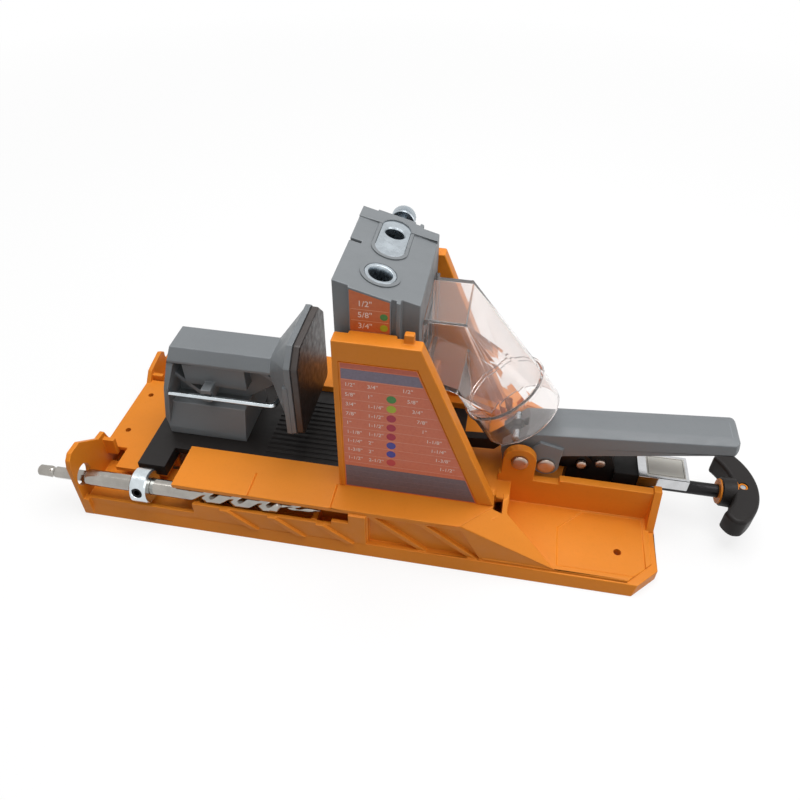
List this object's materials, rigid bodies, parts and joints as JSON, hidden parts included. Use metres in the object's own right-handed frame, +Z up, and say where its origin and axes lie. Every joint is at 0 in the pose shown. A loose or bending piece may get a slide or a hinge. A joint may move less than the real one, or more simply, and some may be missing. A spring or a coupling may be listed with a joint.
{
  "type": "pocket hole jig",
  "caption": "Bench pocket hole jig: base with a lever-driven sliding jaw, angled drill guides in a height-set block, clear dust chute and stored step drill.",
  "frame": {"origin": "centre of the base moulding's underside, on the bench plane", "axes": "+X along the base towards the lever and its T-handle, +Y away from the side where the drill is stored, +Z up"},
  "size_m": [0.4215, 0.14, 0.1656],
  "materials": {
    "orange_plastic": "fine moulded grain, satin",
    "grey_plastic": "fine moulded grain, satin",
    "black_plastic": "satin",
    "pad_rubber": "matt",
    "zinc_steel": "bright zinc plate",
    "drill_steel": "ground",
    "black_steel": "black oxide",
    "rivet_steel": "plain",
    "bracket_chrome": "bright",
    "clear_plastic": "clear, glossy"
  },
  "bodies": {
    "frame": {"base": "orange_plastic", "tower": "orange_plastic", "tower_screws": "zinc_steel", "drill_bit": "drill_steel", "stop_collar": "zinc_steel", "collar_screw": "black_steel", "lever_pin": "rivet_steel", "yoke": "black_plastic", "yoke_pins": "rivet_steel", "adjuster_bracket": "bracket_chrome", "adjuster_nut": "black_plastic", "adjuster_spring": "zinc_steel"},
    "carriage": {"slide_plate": "black_plastic", "slide_keeper": "black_plastic", "jaw_body": "grey_plastic", "jaw_screws": "zinc_steel", "jaw_pad": "pad_rubber", "hex_key": "zinc_steel", "slide_pin": "zinc_steel"},
    "lever": {"lever": "grey_plastic", "lock_pin": "rivet_steel", "drive_pin": "zinc_steel"},
    "drive_link": {"drive_link": "black_steel"},
    "lock_link": {"lock_link": "black_steel"},
    "force_screw": {"adjuster_rod": "black_steel", "handle_core": "orange_plastic", "handle_grip": "black_plastic", "handle_pin": "zinc_steel"},
    "guide": {"guide_block": "grey_plastic", "front_bushing": "zinc_steel", "rear_guide": "zinc_steel", "dust_chute": "clear_plastic"},
    "thumb_screw": {"thumb_screw": "zinc_steel"}
  },
  "joints": [
    {"name": "lever_hinge", "type": "hinge", "parent": "frame", "child": "lever", "pos_m": [0.086, 0, 0.0436], "axis": [0, -1, 0], "range_deg": [0, 20]},
    {"name": "jaw_slide", "type": "slide", "parent": "frame", "child": "carriage", "axis": [1, 0, 0], "range_m": [-0.0038, 0]},
    {"name": "drive_link_pivot", "type": "hinge", "parent": "lever", "child": "drive_link", "pos_m": [0.08213, 0, 0.05303], "axis": [0, -1, 0], "range_deg": [-24, 0]},
    {"name": "lock_link_pivot", "type": "hinge", "parent": "lever", "child": "lock_link", "pos_m": [0.1015, 0, 0.0375], "axis": [0, -1, 0], "range_deg": [-37, 0]},
    {"name": "force_screw_turn", "type": "hinge", "parent": "frame", "child": "force_screw", "pos_m": [0.19, 0, 0.021], "axis": [1, 0, 0], "continuous": true},
    {"name": "guide_height", "type": "slide", "parent": "frame", "child": "guide", "axis": [0, 0, 1], "range_m": [-0.00635, 0.01905]},
    {"name": "thumb_screw_turn", "type": "hinge", "parent": "guide", "child": "thumb_screw", "pos_m": [0.005, 0.042, 0.15404], "axis": [0, 1, 0], "continuous": true}
  ],
  "couplings": [
    {"joint": "jaw_slide", "follows": "lever_hinge", "m_per_rad": -0.01068},
    {"joint": "drive_link_pivot", "follows": "lever_hinge", "ratio": -1.1536},
    {"joint": "lock_link_pivot", "follows": "lever_hinge", "ratio": -1.81}
  ]
}
